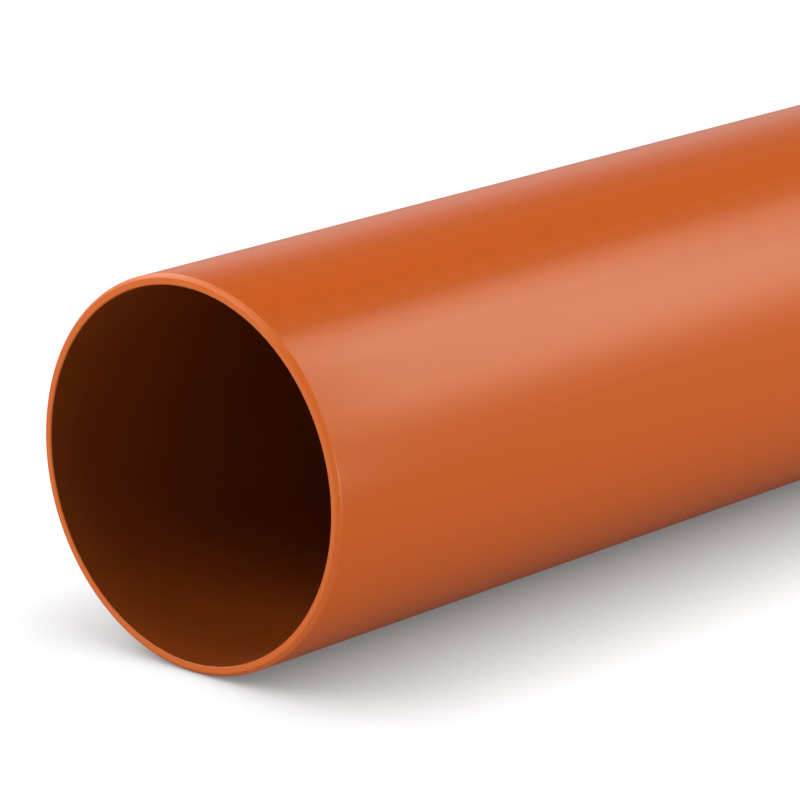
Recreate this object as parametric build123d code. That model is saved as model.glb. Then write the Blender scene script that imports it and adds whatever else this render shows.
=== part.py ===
from build123d import *
from math import radians, tan
import os

# A plain-ended sewer pipe of unplasticised PVC: one extruded tube with both ends sawn square and
# bevelled round the outside, so that either end slides into a socket. It lies along X on the floor.
# The end that the photograph shows points to -X. Lengths are in millimetres.

# The tube as it leaves the extruder
outside_diameter = 160.0
wall_thickness = 4.2

# The length that it is sold in
pipe_length = 1000.0

# The bevel round the outside of each end: how much of the wall it takes off, its slope against the
# pipe's axis in degrees, and the radii that ease it into the sawn face and into the barrel
bevel_depth = 1.5
bevel_slope = 45.0
face_round = 0.5
shoulder_round = 1.5

# The small edge that the deburring knife leaves round each mouth of the bore
bore_edge_break = 0.4

outside_radius = outside_diameter / 2
bore_radius = outside_radius - wall_thickness
bevel_length = bevel_depth / tan(radians(bevel_slope))


def wall_section():
    """The wall cut along the pipe, above its axis: the bore's side first, then the barrel's side."""
    end = pipe_length / 2
    bore_end = end - bore_edge_break
    mouth_radius = bore_radius + bore_edge_break
    face_radius = outside_radius - bevel_depth
    bevel_end = end - bevel_length
    corners = [
        (-bore_end, bore_radius),
        (-end, mouth_radius),
        (-end, face_radius),
        (-bevel_end, outside_radius),
        (bevel_end, outside_radius),
        (end, face_radius),
        (end, mouth_radius),
        (bore_end, bore_radius),
    ]
    with BuildSketch(Plane.XZ) as section:
        with BuildLine():
            Polyline(*corners, close=True)
        make_face()
        face_corners = section.vertices().group_by(Axis.Y)[-2]
        fillet(face_corners, face_round)
        shoulders = section.vertices().group_by(Axis.Y)[-1]
        fillet(shoulders, shoulder_round)
    return section.sketch


def pipe():
    """The wall turned about the pipe's axis, then lifted until the barrel lies on the floor."""
    return Pos(0, 0, outside_radius) * revolve(wall_section(), Axis.X)


os.makedirs("parts", exist_ok=True)
export_step(pipe(), "parts/pipe.step")
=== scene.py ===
from math import hypot, pi, radians, tan

import bmesh
import bpy
from mathutils import Euler, Matrix, Vector


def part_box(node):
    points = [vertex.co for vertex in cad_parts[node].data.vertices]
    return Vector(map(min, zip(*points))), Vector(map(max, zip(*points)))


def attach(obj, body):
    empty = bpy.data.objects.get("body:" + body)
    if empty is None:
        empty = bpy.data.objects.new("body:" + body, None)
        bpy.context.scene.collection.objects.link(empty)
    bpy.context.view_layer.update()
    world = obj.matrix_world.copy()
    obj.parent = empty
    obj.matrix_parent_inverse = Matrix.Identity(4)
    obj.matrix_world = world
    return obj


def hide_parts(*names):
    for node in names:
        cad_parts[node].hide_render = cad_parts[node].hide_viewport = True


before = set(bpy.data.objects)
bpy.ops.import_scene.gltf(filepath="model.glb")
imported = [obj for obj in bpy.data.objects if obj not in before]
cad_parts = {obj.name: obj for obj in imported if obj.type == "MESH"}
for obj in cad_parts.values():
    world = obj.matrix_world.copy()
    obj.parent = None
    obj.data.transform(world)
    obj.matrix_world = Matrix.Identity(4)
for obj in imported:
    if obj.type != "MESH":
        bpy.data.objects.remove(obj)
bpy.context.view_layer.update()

# The pipe: one length of orange-brown unplasticised PVC tube, drawn from a die and cut to length
# by a saw that circles it and bevels both ends. The faint lines along it and the rings on its
# ends are how such pipe is made. They are too fine for the photograph to show.
low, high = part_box("pipe")
half_length = (high.x - low.x) / 2
barrel_radius = (high.z - low.z) / 2
axis_height = (high.z + low.z) / 2
wall_thickness = 0.0042
bevel_depth = 0.0015
bevel_slope = radians(45)
face_round = 0.0005
shoulder_round = 0.0015
bore_edge_break = 0.0004
corner_steps = 6
turn_steps = 288
ring_spacing = 0.05
weld_distance = 1e-6
sharp_from = radians(30)
square_to_axis = 0.99
skin_slot, bore_slot, cut_slot, bevel_slot = range(4)

bore_radius = barrel_radius - wall_thickness
face_radius = barrel_radius - bevel_depth
bevel_end = half_length - bevel_depth / tan(bevel_slope)
barrel_end = bevel_end - shoulder_round * tan(bevel_slope / 2)


def wall_section():
    """The wall cut along the pipe, above its axis, with both corners of each bevel eased."""
    mouth_radius = bore_radius + bore_edge_break
    bore_end = half_length - bore_edge_break
    near_half = [
        (-bore_end, bore_radius),
        (-half_length, mouth_radius),
        (-half_length, face_radius),
        (-bevel_end, barrel_radius),
    ]
    far_half = [(-x, radius) for x, radius in reversed(near_half)]
    section = bmesh.new()
    corners = [section.verts.new((x, 0, axis_height + r)) for x, r in near_half + far_half]
    section.faces.new(corners)
    for radius, turn, rounding in ((face_radius, pi / 2 - bevel_slope, face_round),
                                   (barrel_radius, bevel_slope, shoulder_round)):
        eased = [v for v in section.verts if abs(v.co.z - axis_height - radius) < bevel_depth / 4]
        bmesh.ops.bevel(section, geom=eased, offset=rounding * tan(turn / 2), offset_type="OFFSET",
                        affect="VERTICES", segments=corner_steps, profile=0.5, material=-1)
    bmesh.ops.delete(section, geom=section.faces[:], context="FACES_ONLY")
    long_edges = [e for e in section.edges if e.calc_length() > half_length]
    ring_count = round(2 * half_length / ring_spacing) - 1
    bmesh.ops.subdivide_edges(section, edges=long_edges, cuts=ring_count)
    return section


def turned_wall():
    """The section turned once about the pipe's axis, with each face in the slot of its finish."""
    wall = wall_section()
    bmesh.ops.spin(wall, geom=wall.verts[:] + wall.edges[:], cent=(0, 0, axis_height),
                   axis=(1, 0, 0), angle=2 * pi, steps=turn_steps, use_merge=True,
                   use_duplicate=False)
    bmesh.ops.remove_doubles(wall, verts=wall.verts[:], dist=weld_distance)
    bmesh.ops.recalc_face_normals(wall, faces=wall.faces[:])
    middle_radius = barrel_radius - wall_thickness / 2
    for face in wall.faces:
        centre = face.calc_center_median()
        radius = hypot(centre.y, centre.z - axis_height)
        if abs(centre.x) > barrel_end:
            on_bevel = radius > face_radius and abs(face.normal.x) < square_to_axis
            face.material_index = bevel_slot if on_bevel else cut_slot
        elif radius < middle_radius:
            face.material_index = bore_slot
        else:
            face.material_index = skin_slot
    return wall


def link(tree, source, target):
    tree.links.new(source, target)


def marks_group(name, output):
    """A node group that takes a spacing in metres and gives one value, with its two end nodes."""
    group = bpy.data.node_groups.new(name, "ShaderNodeTree")
    group.interface.new_socket("Spacing", in_out="INPUT", socket_type="NodeSocketFloat")
    group.interface.new_socket(output, in_out="OUTPUT", socket_type="NodeSocketFloat")
    return group, group.nodes.new("NodeGroupInput"), group.nodes.new("NodeGroupOutput")


def drawn_lines_group():
    """The faint lines that a die leaves along a tube: noise drawn out a hundredfold along X."""
    line_stretch = 100
    group, given, out = marks_group("drawn lines", "Lines")
    place = group.nodes.new("ShaderNodeTexCoord")
    stretch = group.nodes.new("ShaderNodeMapping")
    stretch.inputs["Scale"].default_value = (1 / line_stretch, 1, 1)
    per_spacing = group.nodes.new("ShaderNodeMath")
    per_spacing.operation = "DIVIDE"
    per_spacing.inputs[0].default_value = 1
    size = group.nodes.new("ShaderNodeVectorMath")
    size.operation = "SCALE"
    lines = group.nodes.new("ShaderNodeTexNoise")
    lines.inputs["Scale"].default_value = 1
    lines.inputs["Detail"].default_value = 2
    link(group, place.outputs["Object"], stretch.inputs["Vector"])
    link(group, given.outputs["Spacing"], per_spacing.inputs[1])
    link(group, stretch.outputs["Vector"], size.inputs["Vector"])
    link(group, per_spacing.outputs["Value"], size.inputs["Scale"])
    link(group, size.outputs["Vector"], lines.inputs["Vector"])
    link(group, lines.outputs["Fac"], out.inputs["Lines"])
    return group


def cutter_rings_group():
    """The rings that a circling cutter leaves on an end: noise over the distance from the axis."""
    group, given, out = marks_group("cutter rings", "Rings")
    place = group.nodes.new("ShaderNodeTexCoord")
    centre = group.nodes.new("ShaderNodeMapping")
    centre.inputs["Location"].default_value = (0, 0, -axis_height)
    across = group.nodes.new("ShaderNodeVectorMath")
    across.operation = "MULTIPLY"
    across.inputs[1].default_value = (0, 1, 1)
    radius = group.nodes.new("ShaderNodeVectorMath")
    radius.operation = "LENGTH"
    count = group.nodes.new("ShaderNodeMath")
    count.operation = "DIVIDE"
    rings = group.nodes.new("ShaderNodeTexNoise")
    rings.noise_dimensions = "1D"
    rings.inputs["Scale"].default_value = 1
    rings.inputs["Detail"].default_value = 3
    link(group, place.outputs["Object"], centre.inputs["Vector"])
    link(group, centre.outputs["Vector"], across.inputs[0])
    link(group, across.outputs["Vector"], radius.inputs["Vector"])
    link(group, radius.outputs["Value"], count.inputs[0])
    link(group, given.outputs["Spacing"], count.inputs[1])
    link(group, count.outputs["Value"], rings.inputs["W"])
    link(group, rings.outputs["Fac"], out.inputs["Rings"])
    return group


pvc_ior = 1.53
pvc_gloss_tint = (1, 0.85, 0.6, 1)
faint_mark = 0.3
strong_mark = 0.7


def pvc(name, marks, output, colours, gloss_level, roughness, depth, fine_spacing, broad_spacing):
    """Pigmented PVC. Broad marks of the tool that shaped it shade its colour, and fine ones its
    gloss and its relief. Colours and roughness are given at a faint mark and at a strong one."""
    material = bpy.data.materials.new(name)
    material.use_nodes = True
    tree = material.node_tree
    shader = tree.nodes["Principled BSDF"]
    shader.inputs["IOR"].default_value = pvc_ior
    shader.inputs["Specular IOR Level"].default_value = gloss_level
    shader.inputs["Specular Tint"].default_value = pvc_gloss_tint

    fine = tree.nodes.new("ShaderNodeGroup")
    fine.node_tree = marks
    fine.inputs["Spacing"].default_value = fine_spacing
    broad = tree.nodes.new("ShaderNodeGroup")
    broad.node_tree = marks
    broad.inputs["Spacing"].default_value = broad_spacing

    tone = tree.nodes.new("ShaderNodeValToRGB")
    tone.color_ramp.elements[0].position = faint_mark
    tone.color_ramp.elements[0].color = (*colours[0], 1)
    tone.color_ramp.elements[1].position = strong_mark
    tone.color_ramp.elements[1].color = (*colours[1], 1)
    link(tree, broad.outputs[output], tone.inputs["Fac"])
    link(tree, tone.outputs["Color"], shader.inputs["Base Color"])

    gloss = tree.nodes.new("ShaderNodeMapRange")
    gloss.inputs["From Min"].default_value = faint_mark
    gloss.inputs["From Max"].default_value = strong_mark
    gloss.inputs["To Min"].default_value = roughness[0]
    gloss.inputs["To Max"].default_value = roughness[1]
    link(tree, fine.outputs[output], gloss.inputs["Value"])
    link(tree, gloss.outputs["Result"], shader.inputs["Roughness"])

    relief = tree.nodes.new("ShaderNodeBump")
    relief.inputs["Strength"].default_value = 1
    relief.inputs["Distance"].default_value = depth
    link(tree, fine.outputs[output], relief.inputs["Height"])
    link(tree, relief.outputs["Normal"], shader.inputs["Normal"])
    return material


# The real pipe has one pigment throughout. The bore's colour is written at about half the skin's,
# only so that the bore is as dark here as in the photograph.
drawn_lines = drawn_lines_group()
cutter_rings = cutter_rings_group()
pvc_skin = pvc("pvc skin", drawn_lines, "Lines",
               colours=((0.51, 0.090, 0.009), (0.53, 0.095, 0.011)),
               gloss_level=0.27, roughness=(0.28, 0.31), depth=6e-7,
               fine_spacing=0.004, broad_spacing=0.020)
# The bore's colour, at about half the skin's, is painted shade: the darkness inside the tube.
pvc_bore_painted_shade = pvc("pvc bore painted shade", drawn_lines, "Lines",
               colours=((0.24, 0.045, 0.0035), (0.255, 0.048, 0.0045)),
               gloss_level=0.22, roughness=(0.52, 0.58), depth=2e-6,
               fine_spacing=0.003, broad_spacing=0.015)
pvc_cut = pvc("pvc cut", cutter_rings, "Rings",
              colours=((0.52, 0.108, 0.019), (0.57, 0.123, 0.026)),
              gloss_level=0.22, roughness=(0.42, 0.56), depth=1e-5,
              fine_spacing=0.0004, broad_spacing=0.002)
pvc_bevel = pvc("pvc bevel", cutter_rings, "Rings",
                colours=((0.54, 0.105, 0.015), (0.57, 0.113, 0.018)),
                gloss_level=0.35, roughness=(0.32, 0.38), depth=3e-6,
                fine_spacing=0.0004, broad_spacing=0.002)

wall = turned_wall()
pipe_mesh = bpy.data.meshes.new("sewer_pipe")
wall.to_mesh(pipe_mesh)
wall.free()
pipe_mesh.shade_smooth()
pipe_mesh.set_sharp_from_angle(angle=sharp_from)
for finish in (pvc_skin, pvc_bore_painted_shade, pvc_cut, pvc_bevel):
    pipe_mesh.materials.append(finish)
pipe = bpy.data.objects.new("sewer_pipe", pipe_mesh)
bpy.context.scene.collection.objects.link(pipe)
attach(pipe, "root")
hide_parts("pipe")

# The floor: a plain studio floor that is white to the camera and keeps the pipe's shadow. It shows
# a fifth of that white in the pipe's gloss and throws about half of it back as light. Close in
# under the pipe its glow is darkened, a painted shade like that of a floor where little light gets
# in.
floor_width = 60
floor_colour = 0.2
near_floor_glow = 0.88
glow_starts = 0.8
glow_is_full = 2.5
shade_reach = 0.07
shade_samples = 8
deepest_shade = 0.15
floor_gloss_share = 0.2
floor_light_share = 0.47

plane = bmesh.new()
bmesh.ops.create_grid(plane, x_segments=1, y_segments=1, size=floor_width / 2)
bmesh.ops.translate(plane, verts=plane.verts[:], vec=(0, 0, low.z))
floor_mesh = bpy.data.meshes.new("floor")
plane.to_mesh(floor_mesh)
plane.free()
floor = bpy.data.objects.new("floor", floor_mesh)
bpy.context.scene.collection.objects.link(floor)


def share_of_white(tree, gloss_share, light_share):
    """How white a background is: wholly to the camera, less in a gloss or a glass, and as light."""
    rays = tree.nodes.new("ShaderNodeLightPath")
    mirrored = tree.nodes.new("ShaderNodeMath")
    mirrored.operation = "MAXIMUM"
    share = tree.nodes.new("ShaderNodeMix")
    share.inputs["A"].default_value = light_share
    share.inputs["B"].default_value = gloss_share
    seen = tree.nodes.new("ShaderNodeMath")
    seen.operation = "MAXIMUM"
    link(tree, rays.outputs["Is Glossy Ray"], mirrored.inputs[0])
    link(tree, rays.outputs["Is Transmission Ray"], mirrored.inputs[1])
    link(tree, mirrored.outputs["Value"], share.inputs["Factor"])
    link(tree, rays.outputs["Is Camera Ray"], seen.inputs[0])
    link(tree, share.outputs["Result"], seen.inputs[1])
    return seen.outputs["Value"]


floor_paint = bpy.data.materials.new("floor paint")
floor_paint.use_nodes = True
tree = floor_paint.node_tree
tree.nodes.remove(tree.nodes["Principled BSDF"])
matt = tree.nodes.new("ShaderNodeBsdfDiffuse")
matt.inputs["Color"].default_value = (floor_colour, floor_colour, floor_colour, 1)
place = tree.nodes.new("ShaderNodeTexCoord")
distance = tree.nodes.new("ShaderNodeVectorMath")
distance.operation = "LENGTH"
link(tree, place.outputs["Object"], distance.inputs["Vector"])
rise = tree.nodes.new("ShaderNodeMapRange")
rise.interpolation_type = "SMOOTHSTEP"
rise.inputs["From Min"].default_value = glow_starts
rise.inputs["From Max"].default_value = glow_is_full
rise.inputs["To Min"].default_value = near_floor_glow
rise.inputs["To Max"].default_value = 1
link(tree, distance.outputs["Value"], rise.inputs["Value"])
# Painted shade: ambient occlusion darkens the floor's glow close in under the pipe.
shade = tree.nodes.new("ShaderNodeAmbientOcclusion")
shade.samples = shade_samples
shade.inputs["Distance"].default_value = shade_reach
lifted = tree.nodes.new("ShaderNodeMapRange")
lifted.inputs["To Min"].default_value = deepest_shade
link(tree, shade.outputs["AO"], lifted.inputs["Value"])
shaded = tree.nodes.new("ShaderNodeMath")
shaded.operation = "MULTIPLY"
link(tree, rise.outputs["Result"], shaded.inputs[0])
link(tree, lifted.outputs["Result"], shaded.inputs[1])
strength = tree.nodes.new("ShaderNodeMath")
strength.operation = "MULTIPLY"
link(tree, shaded.outputs["Value"], strength.inputs[0])
link(tree, share_of_white(tree, floor_gloss_share, floor_light_share), strength.inputs[1])
glow = tree.nodes.new("ShaderNodeEmission")
link(tree, strength.outputs["Value"], glow.inputs["Strength"])
both = tree.nodes.new("ShaderNodeAddShader")
link(tree, matt.outputs["BSDF"], both.inputs[0])
link(tree, glow.outputs["Emission"], both.inputs[1])
link(tree, both.outputs["Shader"], tree.nodes["Material Output"].inputs["Surface"])
floor_mesh.materials.append(floor_paint)

# The studio round it: white walls that fade, from a little above the floor's horizon, into a dark
# ceiling, so that the pipe mirrors a pale wall low down and a dark gap above that. The walls are
# white to the camera, two thirds of that in the pipe's gloss, and about a third of it as light.
wall_top_share = 0.14
ceiling_share = 0.58
ceiling_light = 0.05
wall_gloss_share = 0.68
wall_light_share = 0.37

world = bpy.data.worlds.new("studio")
bpy.context.scene.world = world
world.use_nodes = True
tree = world.node_tree
place = tree.nodes.new("ShaderNodeTexCoord")
parts = tree.nodes.new("ShaderNodeSeparateXYZ")
link(tree, place.outputs["Generated"], parts.inputs["Vector"])
height = tree.nodes.new("ShaderNodeMapRange")
height.interpolation_type = "SMOOTHSTEP"
height.inputs["From Min"].default_value = wall_top_share
height.inputs["From Max"].default_value = ceiling_share
height.inputs["To Min"].default_value = 1
height.inputs["To Max"].default_value = ceiling_light
link(tree, parts.outputs["Z"], height.inputs["Value"])
strength = tree.nodes.new("ShaderNodeMath")
strength.operation = "MULTIPLY"
link(tree, height.outputs["Result"], strength.inputs[0])
link(tree, share_of_white(tree, wall_gloss_share, wall_light_share), strength.inputs[1])
link(tree, strength.outputs["Value"], tree.nodes["Background"].inputs["Strength"])
tree.nodes["Background"].inputs["Color"].default_value = (1, 1, 1, 1)


# The lights: softboxes out of the camera's sight. The key leans over the camera's side of the pipe
# and draws the broad pale band along the barrel. It fades out towards its lower side, and so does
# the band. The others fill the front, the top, the back and both ends.
def on_axis(x):
    """The point of the pipe's axis at x."""
    return Vector((x, 0, axis_height))


def softbox(name, place, target, width, height, watts):
    """A rectangular lamp at a place, facing a target, that the camera doesn't see."""
    light = bpy.data.lights.new(name, "AREA")
    light.shape = "RECTANGLE"
    light.size = width
    light.size_y = height
    light.energy = watts
    box = bpy.data.objects.new(name, light)
    aim = (target - Vector(place)).to_track_quat("-Z", "Y")
    box.matrix_world = Matrix.Translation(place) @ aim.to_matrix().to_4x4()
    box.visible_camera = False
    bpy.context.scene.collection.objects.link(box)
    return box


near_end = on_axis(-half_length)
far_end = on_axis(half_length)
key_distance = 2.66
key_lean = radians(50)
key_foot = on_axis(2.5)
key_is_dark_share = 0.07
key_is_full_share = 0.52

key_place = key_foot + Euler((key_lean, 0, 0)).to_matrix() @ Vector((0, 0, key_distance))
key = softbox("key softbox", key_place, key_foot, width=1.6, height=4.2, watts=147)
key.data.use_nodes = True
tree = key.data.node_tree
across = tree.nodes.new("ShaderNodeNewGeometry")
parts = tree.nodes.new("ShaderNodeSeparateXYZ")
link(tree, across.outputs["Parametric"], parts.inputs["Vector"])
fade = tree.nodes.new("ShaderNodeMapRange")
fade.interpolation_type = "SMOOTHSTEP"
fade.inputs["From Min"].default_value = key_is_dark_share
fade.inputs["From Max"].default_value = key_is_full_share
link(tree, parts.outputs["Y"], fade.inputs["Value"])
link(tree, fade.outputs["Result"], tree.nodes["Emission"].inputs["Strength"])

softbox("rim softbox", (-0.48, -1.0, 0.76), near_end, width=0.4, height=0.32, watts=1.6)
softbox("low front softbox", (0.25, -2.2, 0.1), on_axis(0.1), width=1.4, height=0.18, watts=20.5)
softbox("overhead softbox", (-0.3, 0.1, 2.2), on_axis(-0.3), width=1.2, height=1.0, watts=10)
softbox("back softbox", (-0.35, 1.5, 1.35), on_axis(-0.35), width=1.8, height=1.1, watts=25)
softbox("high softbox", (-1.7, 0.6, 1.5), near_end, width=1.0, height=1.0, watts=20)
softbox("near end softbox", (-2.8, 0, 0.2), near_end, width=0.5, height=0.3, watts=21)
softbox("far end softbox", (2.8, 0, 0.2), far_end, width=0.5, height=0.3, watts=5)

# The camera: the lens, height and bearing that fit the rim and the barrel's outlines in the
# photograph with the lens unshifted. A shifted lens at another bearing fits them about as well.
lens_length = 213.44
camera_height_angle = radians(15.79)
camera_bearing = radians(48.04)
camera_offset = Vector((0.08257, 0.02986, 1.83770))

camera_data = bpy.data.cameras.new("camera")
camera_data.lens = lens_length
camera = bpy.data.objects.new("camera", camera_data)
turn = Euler((pi / 2 - camera_height_angle, 0, -camera_bearing)).to_matrix().to_4x4()
camera.matrix_world = Matrix.Translation(near_end) @ turn @ Matrix.Translation(camera_offset)
bpy.context.scene.collection.objects.link(camera)
bpy.context.scene.camera = camera
bpy.context.scene.view_settings.view_transform = "Standard"
